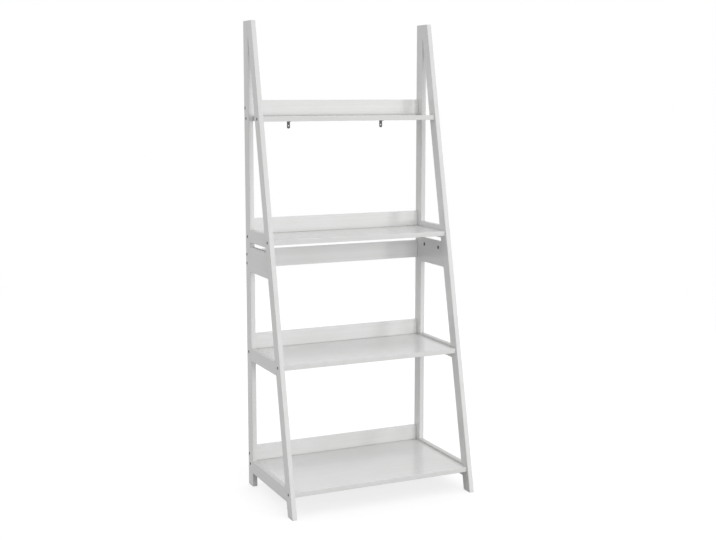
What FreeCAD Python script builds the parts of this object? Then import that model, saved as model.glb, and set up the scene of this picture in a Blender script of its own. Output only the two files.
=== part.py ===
import FreeCAD, Part
import math
import os

# Ladder bookcase: two A-shaped side frames of flat board carry four shelves that
# get deeper towards the floor. Millimetres, +Z up. The origin is on the floor at
# the centre of the footprint. The open front faces -Y and the wall is at +Y.

Vector = FreeCAD.Vector

# Overall size
unit_height = 1490.0            # floor to the top of the side frames
unit_width = 625.0              # over the outer faces of the side frames
unit_depth = 387.0              # rear face to the front of the front feet

# Board stock
board_thickness = 15.0          # every leg, rail, shelf and board
edge_radius = 1.0               # eased long edges
end_radius = 0.6                # eased top ends of the legs
rear_leg_depth = 40.0
front_leg_depth = 38.5          # square to the leaning leg
apex_width = 30.0               # flat top of the front leg, ahead of the rear leg

# Shelves and back boards
shelf_levels = ["bottom", "lower", "upper", "top"]
bottom_shelf_top = 77.5         # floor to the bottom shelf's upper face
shelf_pitch = 373.0             # upper face to upper face
shelf_setback = 6.0             # front edge behind the front leg's face
back_board_height = 50.0

# Side rails
rail_height = 40.0
low_rail_rise = 6.5             # rail top above the bottom and lower shelves
upper_rail_rise = 16.5          # rail top above the upper shelf
rail_gap = 14.5                 # upper rail to deep rail
deep_rail_height = 80.0

# Back stretcher
stretcher_height = 58.0
stretcher_drop = 12.0           # below the deep rail's top

# Countersunk screws through the legs, with a hexagon socket
frame_screw_length = 45.0
frame_screw_shank = 5.0
frame_screw_head = 9.5
socket_width = 3.0              # across the flats
socket_depth = 1.8
rear_screw_inset = 15.0         # shelf screw to the rear face of the rear leg
stretcher_screw_spacing = 28.0

# Countersunk screws up through a shelf into its back board
board_screw_length = 35.0
board_screw_shank = 4.0
board_screw_head = 8.0
board_screw_count = 3
board_fixing_inset = 100.0      # outer fixings to the ends of the board

# Shape and room that all screws share
head_rim = 0.8                  # straight rim above a countersunk cone
head_sink = 0.3                 # head below the face it is driven into
screw_tip = 4.0                 # length of the pointed end
screw_point = 0.4               # diameter of the blunt point
screw_clearance = 0.15          # around a screw in its hole

# Dowels
dowel_diameter = 6.0
dowel_length = 25.0
dowel_clearance = 0.1           # around a dowel in its hole
dowel_end_room = 0.5            # beyond each end of a dowel
board_dowel_count = 2
board_dowel_depth = 9.0         # part of a back board's dowel that is in the shelf

# Cam locks that draw the deep rails to the legs
cam_diameter = 12.0
cam_depth = 11.0
cam_reach = 24.0                # cam's centre to the end of the rail
cam_drop = 20.0                 # cam's centre below the rail's top
cam_clearance = 0.2
cam_sink = 0.3                  # cam's face below the rail's face
cam_cross_length = 7.0          # cross recess for the driver
cam_cross_width = 1.4
cam_cross_depth = 2.0
cam_bolt_thread = 6.0           # diameter of the part that is in the leg
cam_bolt_grip = 11.0            # length of that part
cam_bolt_neck = 3.5
cam_bolt_head = 6.0
cam_bolt_head_length = 3.0
deep_dowel_rise = 20.0          # dowel above the deep rail's underside

# Angle brackets under the top shelf, for screwing the unit to a wall
bracket_spacing = 328.0
bracket_width = 10.0
bracket_leg = 26.0
bracket_sheet = 2.0
bracket_bend = 1.5              # inner radius of the bend
bracket_corner = 4.2            # rounded corners of the two free ends
bracket_hole = 4.0
bracket_hole_inset = 17.0       # from the outer corner of the bend
bracket_screw_length = 12.0
bracket_screw_shank = 3.5
bracket_screw_head = 7.5
bracket_screw_dome = 2.2        # height of the pan head
bracket_screw_crown = 5.0       # flat crown of the pan head
bracket_cross_length = 4.2      # cross recess for the driver
bracket_cross_width = 1.1
bracket_cross_depth = 1.4

# Places worked out from the sizes above
left = -1
right = 1
sides = {"left": left, "right": right}
rear_face = unit_depth / 2
front_foot = -unit_depth / 2
rail_joint = rear_face - rear_leg_depth
outer_face = unit_width / 2
inner_face = outer_face - board_thickness
board_middle = board_thickness / 2
lean = (unit_depth - rear_leg_depth - apex_width) / unit_height
lean_angle = math.atan(lean)
leg_run = front_leg_depth / math.cos(lean_angle)
apex_joint = (leg_run - apex_width) / lean
shelf_tops = {
    name: bottom_shelf_top + shelf_pitch * level
    for level, name in enumerate(shelf_levels)
}
rail_tops = {
    "bottom": shelf_tops["bottom"] + low_rail_rise,
    "lower": shelf_tops["lower"] + low_rail_rise,
    "upper": shelf_tops["upper"] + upper_rail_rise,
}
deep_rail_top = rail_tops["upper"] - rail_height - rail_gap
deep_rail_foot = deep_rail_top - deep_rail_height
stretcher_top = deep_rail_top - stretcher_drop
stretcher_foot = stretcher_top - stretcher_height
end_boards = ["bottom", "top"]      # back boards screwed through the rear legs
middle_boards = ["lower", "upper"]  # back boards screwed up through their shelves
across = Vector(1, 0, 0)
back_and_forth = Vector(0, 1, 0)
upright = Vector(0, 0, 1)
into_rear_leg = back_and_forth
parallel_limit = math.cos(math.radians(1))  # edges within a degree count as parallel
into_front_leg = Vector(0, -math.cos(lean_angle), math.sin(lean_angle))


def leg_front(height):
    return front_foot + lean * height


def leg_back(height):
    return leg_front(height) + leg_run


def side_middle(side):
    return side * (outer_face - board_middle)


# Shared shapes

def prism(x_low, x_high, outline):
    points = [Vector(x_low, y, z) for y, z in outline]
    face = Part.Face(Part.makePolygon(points + points[:1]))
    return face.extrude(Vector(x_high - x_low, 0, 0))


def frame_board(side, outline):
    x_inner = side * inner_face
    x_outer = side * outer_face
    return prism(min(x_inner, x_outer), max(x_inner, x_outer), outline)


def cross_board(y_low, y_high, z_low, z_high):
    outline = [(y_low, z_low), (y_high, z_low), (y_high, z_high), (y_low, z_high)]
    return prism(-inner_face, inner_face, outline)


def edge_middle(edge):
    return edge.valueAt((edge.FirstParameter + edge.LastParameter) / 2)


def runs_along(edge, direction):
    start, end = (vertex.Point for vertex in edge.Vertexes)
    run = (end - start).normalize()
    return abs(run.dot(direction)) > parallel_limit


def on_open_top(edge):
    middle = edge_middle(edge)
    at_joint = abs(middle.y - rail_joint) < edge_radius
    return unit_height - middle.z < edge_radius and not at_joint


def eased(board, wanted, radius=edge_radius):
    edges = [edge for edge in board.Edges if wanted(edge)]
    return board.makeFillet(radius, edges)


def turned(outline, place, direction):
    points = [Vector(radius, 0, -depth) for radius, depth in outline]
    face = Part.Face(Part.makePolygon(points + points[:1]))
    solid = face.revolve(Vector(0, 0, 0), Vector(0, 0, 1), 360)
    turn = FreeCAD.Rotation(Vector(0, 0, -1), direction)
    solid.Placement = FreeCAD.Placement(place, turn)
    return solid


def rod(place, direction, radius, length):
    return Part.makeCylinder(radius, length, place, direction)


def drilled(board, tools):
    near = [tool for tool in tools if tool.BoundBox.intersect(board.BoundBox)]
    return board.cut(near) if near else board


# Fasteners, each with the hole that it needs

def countersunk(place, direction, length, shank, head):
    head_radius = head / 2
    shank_radius = shank / 2
    neck = head_rim + head_radius - shank_radius
    screw = turned(
        [(0, 0), (head_radius, 0), (head_radius, head_rim), (shank_radius, neck),
         (shank_radius, length - screw_tip), (screw_point / 2, length), (0, length)],
        place + direction * head_sink, direction)
    wide = head_radius + screw_clearance
    bore = shank_radius + screw_clearance
    hole = turned(
        [(0, 0), (wide, 0), (wide, head_sink + head_rim), (bore, head_sink + neck),
         (bore, head_sink + length - screw_tip),
         (screw_point / 2 + screw_clearance, head_sink + length + screw_clearance),
         (0, head_sink + length + screw_clearance)],
        place, direction)
    return screw.cut(socket(place + direction * head_sink, direction)), hole


def socket(place, direction):
    corner = socket_width / math.sqrt(3)
    points = []
    for step in range(6):
        angle = math.radians(60 * step)
        points.append(Vector(corner * math.cos(angle), corner * math.sin(angle), 0))
    hexagon = Part.Face(Part.makePolygon(points + points[:1]))
    solid = hexagon.extrude(Vector(0, 0, -socket_depth))
    turn = FreeCAD.Rotation(Vector(0, 0, -1), direction)
    solid.Placement = FreeCAD.Placement(place, turn)
    return solid


def frame_screw(side, y, z):
    place = Vector(side * outer_face, y, z)
    return countersunk(place, Vector(-side, 0, 0),
                       frame_screw_length, frame_screw_shank, frame_screw_head)


def dowel(joint, direction, depth_ahead):
    depth_behind = dowel_length - depth_ahead
    pin = rod(joint - direction * depth_behind, direction,
              dowel_diameter / 2, dowel_length)
    hole = rod(joint - direction * (depth_behind + dowel_end_room), direction,
               dowel_diameter / 2 + dowel_clearance,
               dowel_length + 2 * dowel_end_room)
    return pin, hole


def cam_fitting(side, joint, into_leg):
    centre = joint - into_leg * cam_reach
    face_in = Vector(side, 0, 0)
    mouth = Vector(side * inner_face, centre.y, centre.z)
    cam = rod(mouth + face_in * cam_sink, face_in,
              cam_diameter / 2, cam_depth - cam_sink)
    pocket = rod(mouth, face_in, cam_diameter / 2 + cam_clearance,
                 cam_depth + cam_clearance)
    head_back = cam_bolt_head_length / 2
    neck_end = cam_diameter / 2 + cam_clearance
    bolt = turned(
        [(0, 0), (cam_bolt_head / 2, 0), (cam_bolt_head / 2, cam_bolt_head_length),
         (cam_bolt_neck / 2, cam_bolt_head_length),
         (cam_bolt_neck / 2, head_back + neck_end),
         (cam_bolt_thread / 2, head_back + neck_end),
         (cam_bolt_thread / 2, head_back + cam_reach + cam_bolt_grip),
         (0, head_back + cam_reach + cam_bolt_grip)],
        centre - into_leg * head_back, into_leg)
    bore = rod(centre, into_leg, cam_bolt_thread / 2 + cam_clearance,
               cam_reach + cam_bolt_grip + cam_clearance)
    grip = rod(centre - into_leg * (head_back + cam_clearance), into_leg,
               cam_bolt_head / 2 + cam_clearance,
               cam_bolt_head_length + 2 * cam_clearance)
    slot = rod(centre, into_leg, cam_bolt_neck / 2 + cam_clearance, cam_diameter)
    cam = cam.cut([grip, slot, cross_recess(mouth + face_in * cam_sink, face_in, cam_cross_length,
                                         cam_cross_width, cam_cross_depth)])
    return cam, bolt, [pocket, bore]


def cross_recess(place, direction, length, width, depth):
    half_length = length / 2
    half_width = width / 2
    arms = []
    for long_half, short_half in [(half_length, half_width), (half_width, half_length)]:
        corner = Vector(-long_half, -short_half, -depth)
        arms.append(Part.makeBox(2 * long_half, 2 * short_half, depth, corner))
    cross = arms[0].fuse(arms[1])
    turn = FreeCAD.Rotation(Vector(0, 0, -1), direction)
    cross.Placement = FreeCAD.Placement(place, turn)
    return cross


def along_board(count):
    reach = inner_face - board_fixing_inset
    return [-reach + 2 * reach * step / (count - 1) for step in range(count)]


# Boards before drilling

def rear_leg(side):
    outline = [(rail_joint, 0), (rear_face, 0),
               (rear_face, unit_height), (rail_joint, unit_height)]
    leg = eased(frame_board(side, outline), lambda edge: runs_along(edge, upright))
    return eased(leg, on_open_top, end_radius)


def front_leg(side):
    outline = [(front_foot, 0), (leg_back(0), 0),
               (rail_joint, unit_height - apex_joint),
               (rail_joint, unit_height), (leg_front(unit_height), unit_height)]
    up_the_leg = Vector(0, math.sin(lean_angle), math.cos(lean_angle))
    leg = eased(frame_board(side, outline), lambda edge: runs_along(edge, up_the_leg))
    return eased(leg, on_open_top, end_radius)


def side_rail(side, top, height):
    foot = top - height
    outline = [(rail_joint, foot), (rail_joint, top),
               (leg_back(top), top), (leg_back(foot), foot)]
    rail = frame_board(side, outline)
    return eased(rail, lambda edge: runs_along(edge, back_and_forth))


def shelf(top):
    front = leg_front(top) + shelf_setback
    board = cross_board(front, rear_face, top - board_thickness, top)
    return eased(board, lambda edge: runs_along(edge, across))


def back_board(foot):
    top = foot + back_board_height
    board = cross_board(rear_face - board_thickness, rear_face, foot, top)
    return eased(board, lambda edge: runs_along(edge, across))


def stretcher():
    board = cross_board(rear_face - board_thickness, rear_face,
                        stretcher_foot, stretcher_top)
    return eased(board, lambda edge: runs_along(edge, across))


def wall_bracket(side, shelf_foot):
    middle = side * bracket_spacing / 2
    x_low = middle - bracket_width / 2
    outer_bend = bracket_bend + bracket_sheet
    toe = rear_face - bracket_leg
    outline = [(toe, shelf_foot), (rear_face, shelf_foot),
               (rear_face, shelf_foot - bracket_leg),
               (rear_face - bracket_sheet, shelf_foot - bracket_leg),
               (rear_face - bracket_sheet, shelf_foot - bracket_sheet),
               (toe, shelf_foot - bracket_sheet)]
    angle = prism(x_low, x_low + bracket_width, outline)
    heel = Vector(middle, rear_face, shelf_foot)
    crook = Vector(middle, rear_face - bracket_sheet, shelf_foot - bracket_sheet)
    for corner, radius in [(heel, outer_bend), (crook, bracket_bend)]:
        bend = [edge for edge in angle.Edges if runs_along(edge, across)
                and edge_middle(edge).distanceToPoint(corner) < bracket_sheet / 2]
        angle = angle.makeFillet(radius, bend)
    toe_edges = [edge for edge in angle.Edges if runs_along(edge, upright)
                 and edge_middle(edge).y < toe + bracket_sheet]
    tip_edges = [edge for edge in angle.Edges if runs_along(edge, back_and_forth)
                 and edge_middle(edge).z < shelf_foot - bracket_leg + bracket_sheet]
    angle = angle.makeFillet(bracket_corner, toe_edges + tip_edges)
    wall_hole = rod(Vector(middle, rear_face + bracket_sheet,
                           shelf_foot - bracket_hole_inset),
                    Vector(0, -1, 0), bracket_hole / 2, 3 * bracket_sheet)
    shelf_hole = rod(Vector(middle, rear_face - bracket_hole_inset,
                            shelf_foot + bracket_sheet),
                     Vector(0, 0, -1), bracket_screw_shank / 2 + screw_clearance,
                     3 * bracket_sheet)
    return angle.cut([wall_hole, shelf_hole])


def bracket_screw(side, shelf_foot):
    seat = Vector(side * bracket_spacing / 2, rear_face - bracket_hole_inset,
                  shelf_foot - bracket_sheet)
    shank_radius = bracket_screw_shank / 2
    head_radius = bracket_screw_head / 2
    screw = turned(
        [(0, -bracket_screw_dome), (bracket_screw_crown / 2, -bracket_screw_dome),
         (head_radius, -bracket_screw_dome / 2), (head_radius, 0), (shank_radius, 0),
         (shank_radius, bracket_screw_length - screw_tip),
         (screw_point / 2, bracket_screw_length), (0, bracket_screw_length)],
        seat, upright)
    hole = rod(seat, upright, shank_radius + screw_clearance,
               bracket_screw_length + screw_clearance)
    recess = cross_recess(seat - upright * bracket_screw_dome, upright,
                          bracket_cross_length, bracket_cross_width, bracket_cross_depth)
    return screw.cut(recess), hole


# Where each fastener goes

def shelf_screws(side):
    pairs = []
    for top in shelf_tops.values():
        height = top - board_middle
        pairs.append(frame_screw(side, rear_face - rear_screw_inset, height))
        pairs.append(frame_screw(side, leg_front(height) + leg_run / 2, height))
    return pairs


def end_board_screws(side):
    pairs = []
    for name in end_boards:
        height = shelf_tops[name] + back_board_height / 2
        pairs.append(frame_screw(side, rear_face - board_middle, height))
    return pairs


def stretcher_screws(side):
    middle = stretcher_top - stretcher_height / 2
    pairs = []
    for step in (-1, 1):
        height = middle + step * stretcher_screw_spacing / 2
        pairs.append(frame_screw(side, rear_face - board_middle, height))
    return pairs


def middle_board_screws():
    pairs = []
    for name in middle_boards:
        foot = shelf_tops[name] - board_thickness
        for x in along_board(board_screw_count):
            place = Vector(x, rear_face - board_middle, foot)
            pairs.append(countersunk(place, upright, board_screw_length,
                                     board_screw_shank, board_screw_head))
    return pairs


def end_board_dowels():
    pairs = []
    for name in end_boards:
        for x in along_board(board_dowel_count):
            joint = Vector(x, rear_face - board_middle, shelf_tops[name])
            pairs.append(dowel(joint, -upright, board_dowel_depth))
    return pairs


def rail_end_dowels(side, height):
    x = side_middle(side)
    half = dowel_length / 2
    return [dowel(Vector(x, rail_joint, height), into_rear_leg, half),
            dowel(Vector(x, leg_back(height), height), into_front_leg, half)]


def rail_dowels(side):
    pairs = []
    for top in rail_tops.values():
        for quarter in (1, 3):
            pairs += rail_end_dowels(side, top - rail_height * quarter / 4)
    return pairs + rail_end_dowels(side, deep_rail_foot + deep_dowel_rise)


def apex_dowels(side):
    pairs = []
    for quarter in (1, 3):
        height = unit_height - apex_joint * quarter / 4
        joint = Vector(side_middle(side), rail_joint, height)
        pairs.append(dowel(joint, into_rear_leg, dowel_length / 2))
    return pairs


def cam_fittings(side):
    x = side_middle(side)
    height = deep_rail_top - cam_drop
    rear = cam_fitting(side, Vector(x, rail_joint, height), into_rear_leg)
    rise = cam_reach * math.sin(lean_angle)
    front_joint = Vector(x, leg_back(height + rise), height + rise)
    return [rear, cam_fitting(side, front_joint, into_front_leg)]


# Build: fasteners first, because their holes are drilled in the boards

nodes = {}
holes = []


def add_fasteners(name, pairs):
    nodes[name] = [solid for solid, hole in pairs]
    holes.extend(hole for solid, hole in pairs)


def add_board(name, board):
    nodes[name] = [drilled(board, holes)]


for word, side in sides.items():
    add_fasteners("shelf_screws_" + word, shelf_screws(side))
    add_fasteners("side_rail_dowels_" + word, rail_dowels(side))

both = list(sides.values())
add_fasteners("apex_dowels", [pair for side in both for pair in apex_dowels(side)])
add_fasteners("end_board_screws", [pair for side in both for pair in end_board_screws(side)])
add_fasteners("stretcher_screws", [pair for side in both for pair in stretcher_screws(side)])
add_fasteners("middle_board_screws", middle_board_screws())
add_fasteners("back_board_dowels", end_board_dowels())

top_shelf_foot = shelf_tops["top"] - board_thickness
add_fasteners("wall_bracket_screws", [bracket_screw(side, top_shelf_foot) for side in both])

fittings = [fitting for side in both for fitting in cam_fittings(side)]
nodes["cam_locks"] = [cam for cam, bolt, cuts in fittings]
nodes["cam_bolts"] = [bolt for cam, bolt, cuts in fittings]
for cam, bolt, cuts in fittings:
    holes.extend(cuts)

for word, side in sides.items():
    add_board("rear_leg_" + word, rear_leg(side))
    add_board("front_leg_" + word, front_leg(side))
    for name, top in rail_tops.items():
        add_board(name + "_side_rail_" + word, side_rail(side, top, rail_height))
    add_board("deep_side_rail_" + word, side_rail(side, deep_rail_top, deep_rail_height))
    nodes["wall_bracket_" + word] = [wall_bracket(side, top_shelf_foot)]

for name, top in shelf_tops.items():
    add_board(name + "_shelf", shelf(top))
    add_board(name + "_back_board", back_board(top))

add_board("back_stretcher", stretcher())

os.makedirs("parts", exist_ok=True)
for name, solids in nodes.items():
    shape = Part.makeCompound(solids) if len(solids) > 1 else solids[0]
    shape.exportStep("parts/" + name + ".step")

print(len(nodes), "nodes", sum(len(solids) for solids in nodes.values()), "pieces")
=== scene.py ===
import bpy
import bmesh
import math
import numpy as np
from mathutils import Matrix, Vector


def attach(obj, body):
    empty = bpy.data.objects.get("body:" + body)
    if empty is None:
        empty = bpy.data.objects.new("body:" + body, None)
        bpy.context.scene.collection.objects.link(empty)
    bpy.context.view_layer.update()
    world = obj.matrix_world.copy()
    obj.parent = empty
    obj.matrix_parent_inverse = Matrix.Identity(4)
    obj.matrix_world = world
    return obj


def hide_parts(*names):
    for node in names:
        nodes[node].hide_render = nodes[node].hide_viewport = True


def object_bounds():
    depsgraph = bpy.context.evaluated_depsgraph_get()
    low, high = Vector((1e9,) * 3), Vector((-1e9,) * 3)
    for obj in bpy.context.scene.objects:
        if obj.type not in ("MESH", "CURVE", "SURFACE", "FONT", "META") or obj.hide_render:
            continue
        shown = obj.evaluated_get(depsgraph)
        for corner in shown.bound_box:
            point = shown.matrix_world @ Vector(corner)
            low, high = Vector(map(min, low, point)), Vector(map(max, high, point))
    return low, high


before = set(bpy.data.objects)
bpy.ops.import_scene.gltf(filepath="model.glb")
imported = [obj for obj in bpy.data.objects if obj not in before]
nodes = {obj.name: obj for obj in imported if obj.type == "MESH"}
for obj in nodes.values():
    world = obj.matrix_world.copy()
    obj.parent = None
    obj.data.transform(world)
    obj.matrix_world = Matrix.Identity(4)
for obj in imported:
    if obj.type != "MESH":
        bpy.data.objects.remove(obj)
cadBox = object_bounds()
scene = bpy.context.scene
mm = 0.001
weldDistance = 0.001 * mm
noiseRange = (0.3, 0.7)   # nearly all values of a noise lie between these
print("frame loaded,", len(nodes), "nodes")


# Small helpers

def linear(hexColour):
    channels = [int(hexColour[i:i + 2], 16) / 255 for i in (1, 3, 5)]
    turned = [c / 12.92 if c <= 0.04045 else ((c + 0.055) / 1.055) ** 2.4 for c in channels]
    return (*turned, 1.0)


def addNode(tree, kind, settings=None, inputs=None):
    node = tree.nodes.new(kind)
    for name, value in (settings or {}).items():
        setattr(node, name, value)
    for name, value in (inputs or {}).items():
        if isinstance(value, bpy.types.NodeSocket):
            tree.links.new(value, node.inputs[name])
        else:
            node.inputs[name].default_value = value
    return node


def newMaterial(name):
    material = bpy.data.materials.new(name)
    material.use_nodes = True
    material.node_tree.nodes.clear()
    return material, material.node_tree


def closeMaterial(tree, shader):
    addNode(tree, "ShaderNodeOutputMaterial", None, {"Surface": shader})


# Satin white lacquer, sprayed on fibreboard that was sanded along its length. The eye
# gets a clean white with faint streaks along the board, a soft blurred mirror at low
# angles and, where the coat is thin, a trace of grey and less gloss: near the eased edges
# and on the narrow edges of shelves and rails. The same grey, with less gloss, is painted
# shade in the corners where boards meet.
lacquer = {
    "colour": "#e9e9e9",
    "drift": "#e3e3e2",
    # grey of a thin coat, also used as painted shade in the corners between boards
    "thinCoatAndShadeGrey": "#d8d8d6",
    "ior": 1.56,
    "roughLow": 0.16,
    "roughHigh": 0.22,
    "driftSize": 180 * mm,   # slow change of shade over a board, added to the streaks
    "streakSize": 7 * mm,    # faint streaks along it, drawn as coarse as they need to show
    "paleSum": 0.75,         # sum of the two that gives the first colour
    "darkSum": 1.25,         # and the second
    "hazeSize": 45 * mm,     # patches that are a little more matt
    "peelSize": 3 * mm,      # orange peel of the sprayed coat
    "peelDepth": 0.004 * mm,
    "lineSize": 1.2 * mm,    # sanding lines that the coat has not quite filled
    "lineStretch": 60,
    "lineDepth": 0.0015 * mm,
    "edgeReach": 1.6 * mm,   # how far from an edge the coat thins
    "edgeStart": 0.995,      # match of the rounded and the true normal where that starts
    "edgeFull": 0.90,        # and where it is done
    "edgeThin": 0.7,         # how thin the coat is on an eased edge
    "cornerShadeReach": 6 * mm,    # how far from a corner between two boards the painted shade reaches
    "cornerShadeClosed": 0.5,      # the share of the occlusion test's view that is open right in such a corner, where the painted shade is full
    "shelfEdge": 0.45,       # how thin the coat is on the narrow edges of a shelf
    "railEdge": 0.8,         # and on those of a rail
    "narrowBelow": 0.3,      # a face that points this little to the broad side is narrow
    "broadAbove": 0.7,       # and one that points this much to it is broad
    "thinRough": 0.7,        # roughness where the coat is at its thinnest, and under the full painted corner shade
}


def makeLacquer(name, stretchAxis, faceAxis, narrowEdge=0.0):
    material, tree = newMaterial(name)
    place = addNode(tree, "ShaderNodeTexCoord").outputs["Object"]
    drift = addNode(tree, "ShaderNodeTexNoise", None, {
        "Vector": place, "Scale": 1 / lacquer["driftSize"], "Detail": 2.0})
    haze = addNode(tree, "ShaderNodeTexNoise", None, {
        "Vector": place, "Scale": 1 / lacquer["hazeSize"], "Detail": 4.0, "Roughness": 0.6})
    peel = addNode(tree, "ShaderNodeTexNoise", None, {
        "Vector": place, "Scale": 1 / lacquer["peelSize"], "Detail": 1.0})
    squeeze = [1.0, 1.0, 1.0]
    squeeze[stretchAxis] = 1 / lacquer["lineStretch"]
    along = addNode(tree, "ShaderNodeMapping", None, {"Vector": place, "Scale": squeeze})
    lines = addNode(tree, "ShaderNodeTexNoise", None, {
        "Vector": along.outputs["Vector"], "Scale": 1 / lacquer["lineSize"], "Detail": 2.0})
    streaks = addNode(tree, "ShaderNodeTexNoise", None, {
        "Vector": along.outputs["Vector"], "Scale": 1 / lacquer["streakSize"], "Detail": 3.0})
    rounded = addNode(tree, "ShaderNodeBevel", {"samples": 6}, {"Radius": lacquer["edgeReach"]})
    flat = addNode(tree, "ShaderNodeNewGeometry")
    match = addNode(tree, "ShaderNodeVectorMath", {"operation": "DOT_PRODUCT"}, {
        0: rounded.outputs["Normal"], 1: flat.outputs["True Normal"]})
    edge = addNode(tree, "ShaderNodeMapRange", None, {
        "Value": match.outputs["Value"],
        "From Min": lacquer["edgeStart"], "From Max": lacquer["edgeFull"],
        "To Min": 0.0, "To Max": lacquer["edgeThin"]})
    ways = addNode(tree, "ShaderNodeSeparateXYZ", None, {0: flat.outputs["True Normal"]})
    facing = addNode(tree, "ShaderNodeMath", {"operation": "ABSOLUTE"}, {
        0: ways.outputs[faceAxis]})
    narrow = addNode(tree, "ShaderNodeMapRange", None, {
        "Value": facing.outputs[0],
        "From Min": lacquer["narrowBelow"], "From Max": lacquer["broadAbove"],
        "To Min": narrowEdge, "To Max": 0.0})
    # Painted shade: an occlusion test greys and dulls the lacquer in the corners where boards meet
    cornerOcclusion = addNode(tree, "ShaderNodeAmbientOcclusion", {"samples": 8}, {
        "Distance": lacquer["cornerShadeReach"]})
    cornerShade = addNode(tree, "ShaderNodeMapRange", None, {
        "Value": cornerOcclusion.outputs["AO"], "From Min": 1.0, "From Max": lacquer["cornerShadeClosed"]})
    outer = addNode(tree, "ShaderNodeMath", {"operation": "MAXIMUM"}, {
        0: edge.outputs["Result"], 1: narrow.outputs["Result"]})
    thinCoatAndCornerShade = addNode(tree, "ShaderNodeMath", {"operation": "MAXIMUM"}, {
        0: outer.outputs[0], 1: cornerShade.outputs["Result"]})
    both = addNode(tree, "ShaderNodeMath", {"operation": "ADD"}, {
        0: drift.outputs["Fac"], 1: streaks.outputs["Fac"]})
    uneven = addNode(tree, "ShaderNodeMapRange", None, {
        "Value": both.outputs[0],
        "From Min": lacquer["paleSum"], "From Max": lacquer["darkSum"]})
    shade = addNode(tree, "ShaderNodeMix", {"data_type": "RGBA"}, {
        "Factor": uneven.outputs["Result"],
        "A": linear(lacquer["colour"]), "B": linear(lacquer["drift"])})
    # Mix towards the grey of a thin coat near edges, and towards painted shade in the corners
    colour = addNode(tree, "ShaderNodeMix", {"data_type": "RGBA"}, {
        "Factor": thinCoatAndCornerShade.outputs[0],
        "A": shade.outputs["Result"], "B": linear(lacquer["thinCoatAndShadeGrey"])})
    rough = addNode(tree, "ShaderNodeMapRange", None, {
        "Value": haze.outputs["Fac"], "From Min": noiseRange[0], "From Max": noiseRange[1],
        "To Min": lacquer["roughLow"], "To Max": lacquer["roughHigh"]})
    dull = addNode(tree, "ShaderNodeMath", {"operation": "MULTIPLY"}, {
        0: thinCoatAndCornerShade.outputs[0], 1: lacquer["thinRough"]})
    satin = addNode(tree, "ShaderNodeMath", {"operation": "MAXIMUM"}, {
        0: rough.outputs["Result"], 1: dull.outputs[0]})
    peelBump = addNode(tree, "ShaderNodeBump", None, {
        "Height": peel.outputs["Fac"], "Strength": 1.0, "Distance": lacquer["peelDepth"]})
    lineBump = addNode(tree, "ShaderNodeBump", None, {
        "Height": lines.outputs["Fac"], "Strength": 1.0, "Distance": lacquer["lineDepth"],
        "Normal": peelBump.outputs["Normal"]})
    paint = addNode(tree, "ShaderNodeBsdfPrincipled", None, {
        "Base Color": colour.outputs["Result"], "Roughness": satin.outputs[0],
        "IOR": lacquer["ior"], "Normal": lineBump.outputs["Normal"]})
    closeMaterial(tree, paint.outputs["BSDF"])
    return material


# Axes 0, 1 and 2 are width, depth and height. The first one given is the way a board runs,
# the second the way its broad side faces
shelfLacquer = makeLacquer("satinLacquerShelves", 0, 2, lacquer["shelfEdge"])
boardLacquer = makeLacquer("satinLacquerBoards", 0, 1)
railLacquer = makeLacquer("satinLacquerRails", 1, 0, lacquer["railEdge"])
legLacquer = makeLacquer("satinLacquerLegs", 2, 0)


# Metals and beech share one recipe: a colour that drifts to a second one, a roughness
# that follows the same grain, and a fine bump.
def makeGrained(name, finish):
    material, tree = newMaterial(name)
    place = addNode(tree, "ShaderNodeTexCoord").outputs["Object"]
    along = addNode(tree, "ShaderNodeMapping", None, {"Vector": place, "Scale": finish["squeeze"]})
    grain = addNode(tree, "ShaderNodeTexNoise", None, {
        "Vector": along.outputs["Vector"], "Scale": 1 / finish["grainSize"],
        "Detail": 4.0, "Roughness": 0.6})
    spread = addNode(tree, "ShaderNodeMapRange", None, {
        "Value": grain.outputs["Fac"], "From Min": noiseRange[0], "From Max": noiseRange[1]})
    colour = addNode(tree, "ShaderNodeMix", {"data_type": "RGBA"}, {
        "Factor": spread.outputs["Result"],
        "A": linear(finish["colour"]), "B": linear(finish["second"])})
    rough = addNode(tree, "ShaderNodeMapRange", None, {
        "Value": spread.outputs["Result"],
        "To Min": finish["roughLow"], "To Max": finish["roughHigh"]})
    bump = addNode(tree, "ShaderNodeBump", None, {
        "Height": grain.outputs["Fac"], "Strength": 1.0, "Distance": finish["depth"]})
    body = addNode(tree, "ShaderNodeBsdfPrincipled", None, {
        "Base Color": colour.outputs["Result"], "Roughness": rough.outputs["Result"],
        "Metallic": finish["metallic"], "Normal": bump.outputs["Normal"]})
    closeMaterial(tree, body.outputs["BSDF"])
    return material


# Steel blackened in an oxide bath: nearly black, with a dull oily sheen
blackOxide = makeGrained("blackOxideSteel", {
    "colour": "#2c2c2e", "second": "#3a3a3c", "grainSize": 0.8 * mm, "squeeze": (1, 1, 1),
    "roughLow": 0.38, "roughHigh": 0.55, "depth": 0.01 * mm, "metallic": 1.0})
# Bright zinc plate on pressed steel: cool grey, cloudy, with a broad highlight
zincPlate = makeGrained("zincPlatedSteel", {
    "colour": "#77787b", "second": "#636467", "grainSize": 2.5 * mm, "squeeze": (1, 1, 1),
    "roughLow": 0.28, "roughHigh": 0.45, "depth": 0.01 * mm, "metallic": 1.0})
# Die-cast zinc: darker and duller, with a sandy skin from the mould
castZinc = makeGrained("dieCastZinc", {
    "colour": "#6f7072", "second": "#57585a", "grainSize": 0.6 * mm, "squeeze": (1, 1, 1),
    "roughLow": 0.5, "roughHigh": 0.65, "depth": 0.03 * mm, "metallic": 1.0})
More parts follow.
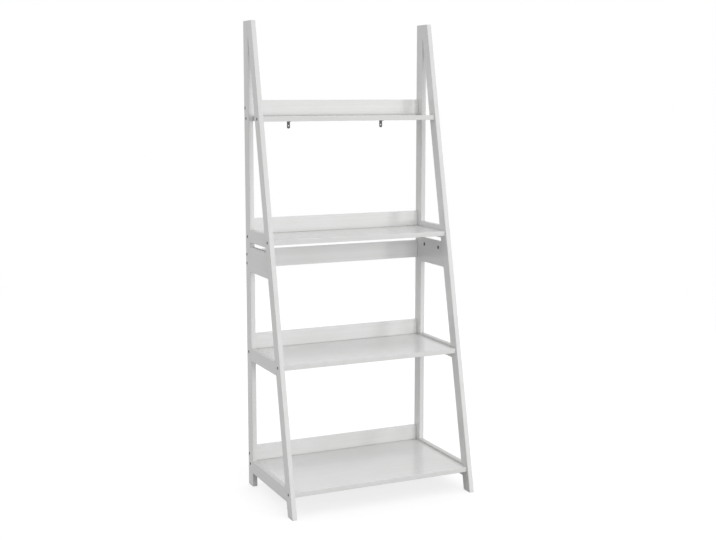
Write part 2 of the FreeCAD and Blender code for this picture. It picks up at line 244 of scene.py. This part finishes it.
# Beech turned to dowel rod: pale tan with short darker flecks along the rod
beech = makeGrained("beechRod", {
    "colour": "#d6b48a", "second": "#b98e60", "grainSize": 1.0 * mm, "squeeze": (1, 0.12, 1),
    "roughLow": 0.55, "roughHigh": 0.7, "depth": 0.05 * mm, "metallic": 0.0})
print("materials made,", len(bpy.data.materials))


# Carried-over boards and fittings keep their CAD shape and get their finish here
def dress(name, material):
    mesh = nodes[name].data
    mesh.materials.clear()
    mesh.materials.append(material)


for name in nodes:
    if "_leg_" in name:
        dress(name, legLacquer)
    elif "_side_rail_" in name and "dowels" not in name:
        dress(name, railLacquer)
    elif name.endswith("_shelf"):
        dress(name, shelfLacquer)
    elif name.endswith(("_back_board", "_stretcher")):
        dress(name, boardLacquer)
    elif name == "cam_locks":
        dress(name, castZinc)
    elif name.endswith("_bolts") or name.startswith("wall_bracket"):
        dress(name, zincPlate)
print("boards and fittings dressed")


# Where the CAD holds each fastener: its head end and the way that the head faces
alongAxis = 0.999   # a fastener this close to an axis lies along it


def fastenerPlaces(nodeName):
    mesh = bmesh.new()
    mesh.from_mesh(nodes[nodeName].data)
    bmesh.ops.remove_doubles(mesh, verts=mesh.verts, dist=weldDistance)
    unseen = set(mesh.verts)
    places = []
    while unseen:
        island = []
        reached = [unseen.pop()]
        while reached:
            vert = reached.pop()
            island.append(vert.co.copy())
            for edge in vert.link_edges:
                other = edge.other_vert(vert)
                if other in unseen:
                    unseen.remove(other)
                    reached.append(other)
        points = np.array(island)
        lowest = points.min(0)
        highest = points.max(0)
        centre = (lowest + highest) / 2
        axis = np.linalg.eigh(np.cov((points - points.mean(0)).T))[1][:, -1]
        nearest = int(np.argmax(np.abs(axis)))
        if abs(axis[nearest]) > alongAxis:
            axis = np.eye(3)[nearest]
        heights = (points - centre) @ axis
        spread = np.linalg.norm(points - centre - np.outer(heights, axis), axis=1)
        if heights[int(np.argmax(spread))] < 0:
            axis = -axis
            heights = -heights
        places.append((Vector(centre + axis * heights.max()), Vector(axis)))
    mesh.free()
    return sorted(places, key=lambda place: tuple(round(v, 5) for v in place[0]))


def drawnMesh(name, points, faces=(), edges=()):
    mesh = bpy.data.meshes.new(name)
    mesh.from_pydata([tuple(v * mm for v in point) for point in points], edges, faces)
    return bpy.data.objects.new(name, mesh)


# A half section, drawn as radius and height in millimetres
def halfSection(name, outline):
    points = [(radius, 0, height) for radius, height in outline]
    edges = [(i, i + 1) for i in range(len(points) - 1)]
    return drawnMesh(name, points, (), edges)


# A driver's recess: an outline sunk from above the head, narrower at the bottom
recessStart = 1.0   # millimetres above the head


def recessCutter(name, outline, depth, taper):
    count = len(outline)
    top = [(x, y, recessStart) for x, y in outline]
    foot = [(x * taper, y * taper, -depth) for x, y in outline]
    sides = [(i, i + count, (i + 1) % count + count, (i + 1) % count) for i in range(count)]
    caps = [tuple(range(count)), tuple(reversed(range(count, 2 * count)))]
    return drawnMesh(name, top + foot, sides + caps)


def hexagon(width, turn):
    corner = width / math.sqrt(3)
    angles = [math.radians(60 * i + turn) for i in range(6)]
    return [(corner * math.cos(angle), corner * math.sin(angle)) for angle in angles]


def cross(length, width):
    far = length / 2
    near = width / 2
    return [(far, -near), (far, near), (near, near), (near, far),
            (-near, far), (-near, near), (-far, near), (-far, -near),
            (-near, -near), (-near, -far), (near, -far), (near, -near)]


def newTree(name, sockets):
    tree = bpy.data.node_groups.new(name, "GeometryNodeTree")
    tree.interface.new_socket("Geometry", in_out="OUTPUT", socket_type="NodeSocketGeometry")
    for socketName, kind in sockets:
        tree.interface.new_socket(socketName, in_out="INPUT", socket_type="NodeSocket" + kind)
    return tree, addNode(tree, "NodeGroupInput").outputs


# Turning: each ring of a grid takes its radius and height from one point of the half
# section, and the flutes press the rings in
def turningTree():
    tree, given = newTree("turnedShape", [
        ("Section", "Object"), ("Rings", "Int"), ("Segments", "Int"),
        ("Flutes", "Int"), ("Flute Depth", "Float")])
    section = addNode(tree, "GeometryNodeObjectInfo", None, {"Object": given["Section"]})
    around = addNode(tree, "ShaderNodeMath", {"operation": "ADD"}, {0: given["Segments"], 1: 1.0})
    grid = addNode(tree, "GeometryNodeMeshGrid", None, {
        "Vertices X": given["Rings"], "Vertices Y": around.outputs[0]})
    index = addNode(tree, "GeometryNodeInputIndex")
    share = addNode(tree, "ShaderNodeMath", {"operation": "DIVIDE"}, {
        0: index.outputs[0], 1: around.outputs[0]})
    ring = addNode(tree, "ShaderNodeMath", {"operation": "FLOOR"}, {0: share.outputs[0]})
    step = addNode(tree, "ShaderNodeMath", {"operation": "MODULO"}, {
        0: index.outputs[0], 1: around.outputs[0]})
    turn = addNode(tree, "ShaderNodeMath", {"operation": "DIVIDE"}, {
        0: step.outputs[0], 1: given["Segments"]})
    angle = addNode(tree, "ShaderNodeMath", {"operation": "MULTIPLY"}, {
        0: turn.outputs[0], 1: 2 * math.pi})
    drawn = addNode(tree, "GeometryNodeInputPosition")
    point = addNode(tree, "GeometryNodeSampleIndex", {"data_type": "FLOAT_VECTOR"}, {
        "Geometry": section.outputs["Geometry"], "Value": drawn.outputs[0],
        "Index": ring.outputs[0]})
    sides = addNode(tree, "ShaderNodeSeparateXYZ", None, {0: point.outputs[0]})
    fluteAngle = addNode(tree, "ShaderNodeMath", {"operation": "MULTIPLY"}, {
        0: angle.outputs[0], 1: given["Flutes"]})
    wave = addNode(tree, "ShaderNodeMath", {"operation": "COSINE"}, {0: fluteAngle.outputs[0]})
    pressed = addNode(tree, "ShaderNodeMath", {"operation": "MULTIPLY_ADD"}, {
        0: wave.outputs[0], 1: 0.5, 2: -0.5})
    depth = addNode(tree, "ShaderNodeMath", {"operation": "MULTIPLY"}, {
        0: pressed.outputs[0], 1: given["Flute Depth"]})
    outside = addNode(tree, "ShaderNodeMath", {"operation": "ADD"}, {
        0: sides.outputs["X"], 1: depth.outputs[0]})
    radius = addNode(tree, "ShaderNodeMath", {"operation": "MAXIMUM"}, {
        0: outside.outputs[0], 1: 0.0})
    cosine = addNode(tree, "ShaderNodeMath", {"operation": "COSINE"}, {0: angle.outputs[0]})
    sine = addNode(tree, "ShaderNodeMath", {"operation": "SINE"}, {0: angle.outputs[0]})
    x = addNode(tree, "ShaderNodeMath", {"operation": "MULTIPLY"}, {
        0: radius.outputs[0], 1: cosine.outputs[0]})
    y = addNode(tree, "ShaderNodeMath", {"operation": "MULTIPLY"}, {
        0: radius.outputs[0], 1: sine.outputs[0]})
    place = addNode(tree, "ShaderNodeCombineXYZ", None, {
        "X": x.outputs[0], "Y": y.outputs[0], "Z": sides.outputs["Z"]})
    shaped = addNode(tree, "GeometryNodeSetPosition", None, {
        "Geometry": grid.outputs["Mesh"], "Position": place.outputs[0]})
    closed = addNode(tree, "GeometryNodeMergeByDistance", None, {
        "Geometry": shaped.outputs[0], "Distance": weldDistance})
    addNode(tree, "NodeGroupOutput", None, {"Geometry": closed.outputs[0]})
    return tree


turnedShape = turningTree()


# Planting: copies a finished shape to each point, with its head the way the point says
creaseAngle = math.radians(28)   # edges sharper than this stay crisp


def plant(tree, points, shape, material):
    smooth = addNode(tree, "GeometryNodeSetShadeSmooth", {"domain": "FACE"}, {0: shape})
    corner = addNode(tree, "GeometryNodeInputMeshEdgeAngle")
    sharp = addNode(tree, "FunctionNodeCompare", {
        "data_type": "FLOAT", "operation": "GREATER_THAN"}, {
        "A": corner.outputs["Unsigned Angle"], "B": creaseAngle})
    creased = addNode(tree, "GeometryNodeSetShadeSmooth", {"domain": "EDGE"}, {
        0: smooth.outputs[0], "Selection": sharp.outputs[0], "Shade Smooth": False})
    facing = addNode(tree, "GeometryNodeInputNamedAttribute", {"data_type": "FLOAT_VECTOR"}, {
        "Name": "facing"})
    turn = addNode(tree, "FunctionNodeAlignRotationToVector", {"axis": "Z"}, {
        "Vector": facing.outputs["Attribute"]})
    copies = addNode(tree, "GeometryNodeInstanceOnPoints", None, {
        "Points": points, "Instance": creased.outputs[0], "Rotation": turn.outputs[0]})
    real = addNode(tree, "GeometryNodeRealizeInstances", None, {"Geometry": copies.outputs[0]})
    painted = addNode(tree, "GeometryNodeSetMaterial", None, {
        "Geometry": real.outputs[0], "Material": material})
    addNode(tree, "NodeGroupOutput", None, {"Geometry": painted.outputs[0]})


# Screws: a turned body with a driver's recess cut in its head and a thread wound on it
winding = {"steps": 20, "sides": 4}   # points on each turn of the thread, sides of its section


def screwTree():
    tree, given = newTree("drivenScrews", [
        ("Points", "Geometry"), ("Section", "Object"), ("Rings", "Int"), ("Segments", "Int"),
        ("Recess", "Object"), ("Thread Radius", "Float"), ("Thread Depth", "Float"),
        ("Thread Pitch", "Float"), ("Thread Start", "Float"), ("Thread Length", "Float"),
        ("Finish", "Material")])
    body = addNode(tree, "GeometryNodeGroup", {"node_tree": turnedShape}, {
        "Section": given["Section"], "Rings": given["Rings"], "Segments": given["Segments"]})
    cutter = addNode(tree, "GeometryNodeObjectInfo", None, {"Object": given["Recess"]})
    cut = addNode(tree, "GeometryNodeMeshBoolean", {
        "operation": "DIFFERENCE", "solver": "EXACT"}, {
        "Mesh 1": body.outputs[0], "Mesh 2": cutter.outputs["Geometry"]})
    turns = addNode(tree, "ShaderNodeMath", {"operation": "DIVIDE"}, {
        0: given["Thread Length"], 1: given["Thread Pitch"]})
    core = addNode(tree, "ShaderNodeMath", {"operation": "SUBTRACT"}, {
        0: given["Thread Radius"], 1: given["Thread Depth"]})
    spiral = addNode(tree, "GeometryNodeCurveSpiral", None, {
        "Resolution": winding["steps"], "Rotations": turns.outputs[0],
        "Start Radius": core.outputs[0], "End Radius": core.outputs[0],
        "Height": given["Thread Length"]})
    bite = addNode(tree, "GeometryNodeCurvePrimitiveCircle", None, {
        "Resolution": winding["sides"], "Radius": given["Thread Depth"]})
    thread = addNode(tree, "GeometryNodeCurveToMesh", None, {
        "Curve": spiral.outputs[0], "Profile Curve": bite.outputs[0], "Fill Caps": True})
    deepest = addNode(tree, "ShaderNodeMath", {"operation": "ADD"}, {
        0: given["Thread Start"], 1: given["Thread Length"]})
    lowered = addNode(tree, "ShaderNodeMath", {"operation": "MULTIPLY"}, {
        0: deepest.outputs[0], 1: -1.0})
    sink = addNode(tree, "ShaderNodeCombineXYZ", None, {"Z": lowered.outputs[0]})
    sunk = addNode(tree, "GeometryNodeTransform", None, {
        "Geometry": thread.outputs[0], "Translation": sink.outputs[0]})
    whole = addNode(tree, "GeometryNodeJoinGeometry", None, {"Geometry": sunk.outputs[0]})
    tree.links.new(cut.outputs["Mesh"], whole.inputs["Geometry"])
    plant(tree, given["Points"], whole.outputs[0], given["Finish"])
    return tree


# Dowels: a turned rod with pressed flutes
def dowelTree():
    tree, given = newTree("flutedDowels", [
        ("Points", "Geometry"), ("Section", "Object"), ("Rings", "Int"), ("Segments", "Int"),
        ("Flutes", "Int"), ("Flute Depth", "Float"), ("Finish", "Material")])
    rod = addNode(tree, "GeometryNodeGroup", {"node_tree": turnedShape}, {
        "Section": given["Section"], "Rings": given["Rings"], "Segments": given["Segments"],
        "Flutes": given["Flutes"], "Flute Depth": given["Flute Depth"]})
    plant(tree, given["Points"], rod.outputs[0], given["Finish"])
    return tree


drivenScrews = screwTree()
flutedDowels = dowelTree()


# Runs a tree on the places that a CAD node gives, and puts the plain mesh in its stead
def growFrom(tree, nodeName, pieceName, values):
    places = fastenerPlaces(nodeName)
    mesh = bpy.data.meshes.new(pieceName)
    mesh.from_pydata([place for place, facing in places], [], [])
    facings = mesh.attributes.new("facing", "FLOAT_VECTOR", "POINT")
    for item, (place, facing) in zip(facings.data, places):
        item.vector = facing
    piece = bpy.data.objects.new(pieceName, mesh)
    scene.collection.objects.link(piece)
    modifier = piece.modifiers.new("grow", "NODES")
    modifier.node_group = tree
    for item in tree.interface.items_tree:
        if item.item_type == "SOCKET" and item.in_out == "INPUT" and item.name in values:
            modifier[item.identifier] = values[item.name]
    piece.update_tag()
    evaluated = piece.evaluated_get(bpy.context.evaluated_depsgraph_get())
    grown = bpy.data.meshes.new_from_object(evaluated)
    piece.modifiers.clear()
    piece.data = grown
    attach(piece, "root")
    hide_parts(nodeName)
    print(pieceName, len(places), "copies,", len(grown.polygons), "faces")


# What the screw tree is given, from a screw's sizes in millimetres
def screwValues(name, screw, outline, finish):
    return {
        "Section": halfSection(name + "Section", screw["section"]),
        "Rings": len(screw["section"]), "Segments": screw["segments"],
        "Recess": recessCutter(
            name + "Recess", outline, screw["recessDepth"], screw["recessTaper"]),
        "Thread Radius": screw["threadRadius"] * mm, "Thread Depth": screw["threadDepth"] * mm,
        "Thread Pitch": screw["threadPitch"] * mm, "Thread Start": screw["threadStart"] * mm,
        "Thread Length": screw["threadLength"] * mm, "Finish": finish}


# Screws through the legs: flat countersunk head, hexagon socket, wood thread
frameScrew = {
    "section": [(0, 0), (4.45, 0), (4.75, -0.3), (4.75, -0.8), (2.5, -3.05), (2.5, -9),
                (1.85, -9.7), (1.85, -41), (0.9, -43), (0, -45)],
    "segments": 40,
    "socketWidth": 3.0,
    "socketTurn": 4.5,       # degrees, so that no corner falls on a line between two segments
    "recessDepth": 1.8,
    "recessTaper": 0.96,
    "threadRadius": 2.5,
    "threadDepth": 0.65,
    "threadPitch": 2.2,
    "threadStart": 10.5,
    "threadLength": 30.0,
}
frameSocket = hexagon(frameScrew["socketWidth"], frameScrew["socketTurn"])
frameScrewValues = screwValues("frameScrew", frameScrew, frameSocket, blackOxide)
for nodeName, pieceName in [
        ("shelf_screws_left", "shelfScrewsLeft"), ("shelf_screws_right", "shelfScrewsRight"),
        ("end_board_screws", "endBoardScrews"), ("stretcher_screws", "stretcherScrews")]:
    growFrom(drivenScrews, nodeName, pieceName, frameScrewValues)

# Screws up into the middle back boards: smaller, zinc plated, with a cross recess
boardScrew = {
    "section": [(0, 0), (3.75, 0), (4.0, -0.25), (4.0, -0.8), (2.0, -2.8), (2.0, -7),
                (1.4, -7.6), (1.4, -31), (0.7, -33), (0, -35)],
    "segments": 36,
    "crossLength": 4.6,
    "crossWidth": 1.1,
    "recessDepth": 2.0,
    "recessTaper": 0.55,
    "threadRadius": 2.0,
    "threadDepth": 0.6,
    "threadPitch": 1.8,
    "threadStart": 8.0,
    "threadLength": 22.5,
}
boardCross = cross(boardScrew["crossLength"], boardScrew["crossWidth"])
boardScrewValues = screwValues("boardScrew", boardScrew, boardCross, zincPlate)
growFrom(drivenScrews, "middle_board_screws", "middleBoardScrews", boardScrewValues)

# Pan-head screws of the wall brackets
panScrew = {
    "section": [(0, 0), (1.3, -0.05), (2.3, -0.25), (3.1, -0.7), (3.6, -1.3), (3.75, -2.0),
                (3.75, -2.2), (1.75, -2.2), (1.75, -3.4), (1.3, -3.8), (1.3, -11),
                (0.5, -13), (0, -14.2)],
    "segments": 36,
    "crossLength": 4.2,
    "crossWidth": 1.1,
    "recessDepth": 1.4,
    "recessTaper": 0.6,
    "threadRadius": 1.75,
    "threadDepth": 0.45,
    "threadPitch": 1.4,
    "threadStart": 4.2,
    "threadLength": 6.5,
}
panCross = cross(panScrew["crossLength"], panScrew["crossWidth"])
panScrewValues = screwValues("panScrew", panScrew, panCross, zincPlate)
growFrom(drivenScrews, "wall_bracket_screws", "wallBracketScrews", panScrewValues)

# Dowels: chamfered ends, straight flutes for the glue
dowel = {
    "section": [(0, 0), (2.3, 0), (3.0, -1.0), (3.0, -24.0), (2.3, -25.0), (0, -25.0)],
    "segments": 64,
    "flutes": 16,
    "fluteDepth": 0.35,
}
dowelValues = {
    "Section": halfSection("dowelSection", dowel["section"]),
    "Rings": len(dowel["section"]), "Segments": dowel["segments"],
    "Flutes": dowel["flutes"], "Flute Depth": dowel["fluteDepth"] * mm, "Finish": beech}
for nodeName, pieceName in [
        ("side_rail_dowels_left", "sideRailDowelsLeft"),
        ("side_rail_dowels_right", "sideRailDowelsRight"),
        ("apex_dowels", "apexDowels"), ("back_board_dowels", "backBoardDowels")]:
    growFrom(flutedDowels, nodeName, pieceName, dowelValues)
print("fasteners grown")


# Floor: a pale disc that fades into the white surroundings
floorPlan = {
    "radius": 6.0,
    "segments": 96,
    "fadeFrom": 1.6,
    "fadeTo": 4.5,
    "colour": "#9a9a9a",
    "lift": 0.75,          # seen directly, the lit floor is raised this much, to white
}


def seenDirectly(tree):
    path = addNode(tree, "ShaderNodeLightPath")
    first = addNode(tree, "ShaderNodeMath", {"operation": "MAXIMUM"}, {
        0: path.outputs["Is Camera Ray"], 1: path.outputs["Is Glossy Ray"]})
    both = addNode(tree, "ShaderNodeMath", {"operation": "MAXIMUM"}, {
        0: first.outputs[0], 1: path.outputs["Is Transmission Ray"]})
    return both.outputs[0]


def makeFloor():
    material, tree = newMaterial("paleFloor")
    place = addNode(tree, "ShaderNodeTexCoord").outputs["Object"]
    reach = addNode(tree, "ShaderNodeVectorMath", {"operation": "LENGTH"}, {0: place})
    fade = addNode(tree, "ShaderNodeMapRange", {"interpolation_type": "SMOOTHSTEP"}, {
        "Value": reach.outputs["Value"],
        "From Min": floorPlan["fadeFrom"], "From Max": floorPlan["fadeTo"]})
    paint = addNode(tree, "ShaderNodeBsdfDiffuse", None, {"Color": linear(floorPlan["colour"])})
    seen = seenDirectly(tree)
    lift = addNode(tree, "ShaderNodeMath", {"operation": "MULTIPLY"}, {
        0: seen, 1: floorPlan["lift"]})
    glow = addNode(tree, "ShaderNodeEmission", None, {"Strength": lift.outputs[0]})
    lit = addNode(tree, "ShaderNodeAddShader", None, {0: paint.outputs[0], 1: glow.outputs[0]})
    clear = addNode(tree, "ShaderNodeBsdfTransparent")
    mixed = addNode(tree, "ShaderNodeMixShader", None, {
        0: fade.outputs["Result"], 1: lit.outputs[0], 2: clear.outputs[0]})
    closeMaterial(tree, mixed.outputs[0])
    mesh = bpy.data.meshes.new("floor")
    disc = bmesh.new()
    bmesh.ops.create_circle(
        disc, cap_ends=True, segments=floorPlan["segments"], radius=floorPlan["radius"])
    disc.to_mesh(mesh)
    disc.free()
    mesh.materials.append(material)
    floor = bpy.data.objects.new("floor", mesh)
    floor.location.z = cadBox[0].z
    scene.collection.objects.link(floor)


makeFloor()


# Light: a white room that is brighter overhead, a large soft lamp in front, a smaller one
# further to the right, which throws the leg's shadow on the back boards, and one behind.
# The lamps don't show in the gloss
room = {"sides": 0.42, "overhead": 0.97}
lamps = [
    {"name": "frontSoftbox", "place": (0.6, -4.5, 1.3), "size": 2.0, "power": 60},
    {"name": "rightSoftbox", "place": (2.9, -4.55, 1.0), "size": 0.8, "power": 38},
    {"name": "rearSoftbox", "place": (1.6, 4.2, 1.3), "size": 2.0, "power": 45},
]
lampAim = (0, 0, 0.7)


def makeLight():
    world = bpy.data.worlds.new("whiteRoom")
    world.use_nodes = True
    tree = world.node_tree
    tree.nodes.clear()
    seen = seenDirectly(tree)
    ahead = addNode(tree, "ShaderNodeTexCoord")
    height = addNode(tree, "ShaderNodeSeparateXYZ", None, {0: ahead.outputs["Generated"]})
    level = addNode(tree, "ShaderNodeMapRange", None, {
        "Value": height.outputs["Z"], "To Min": room["sides"], "To Max": room["overhead"]})
    strength = addNode(tree, "ShaderNodeMapRange", None, {
        "Value": seen, "To Min": level.outputs["Result"], "To Max": 1.0})
    sky = addNode(tree, "ShaderNodeBackground", None, {
        "Color": (1, 1, 1, 1), "Strength": strength.outputs["Result"]})
    addNode(tree, "ShaderNodeOutputWorld", None, {"Surface": sky.outputs[0]})
    scene.world = world
    for lamp in lamps:
        data = bpy.data.lights.new(lamp["name"], "AREA")
        data.shape = "DISK"
        data.size = lamp["size"]
        data.energy = lamp["power"]
        holder = bpy.data.objects.new(lamp["name"], data)
        holder.location = lamp["place"]
        holder.visible_glossy = False
        aim = Vector(lampAim) - Vector(lamp["place"])
        holder.rotation_euler = aim.to_track_quat("-Z", "Y").to_euler()
        scene.collection.objects.link(holder)


makeLight()
scene.view_settings.view_transform = "Standard"
print("floor and light set")


# Camera: the photograph's viewpoint, a little above the middle and to the left
viewpoint = {
    "place": (-1.5745, -3.3897, 1.2749),
    "yaw": 24.807,
    "pitch": 7.855,
    "focalPixels": 1194.3,
    "imageWidth": 716,
    "sensor": 36.0,
    "shiftY": -0.02,
}
cameraData = bpy.data.cameras.new("viewpoint")
cameraData.sensor_width = viewpoint["sensor"]
cameraData.lens = viewpoint["focalPixels"] / viewpoint["imageWidth"] * viewpoint["sensor"]
cameraData.shift_y = viewpoint["shiftY"]
camera = bpy.data.objects.new("viewpoint", cameraData)
camera.location = viewpoint["place"]
camera.rotation_euler = (
    math.radians(90 - viewpoint["pitch"]), 0, math.radians(-viewpoint["yaw"]))
scene.collection.objects.link(camera)
scene.camera = camera
print("camera placed")

bpy.context.view_layer.update()
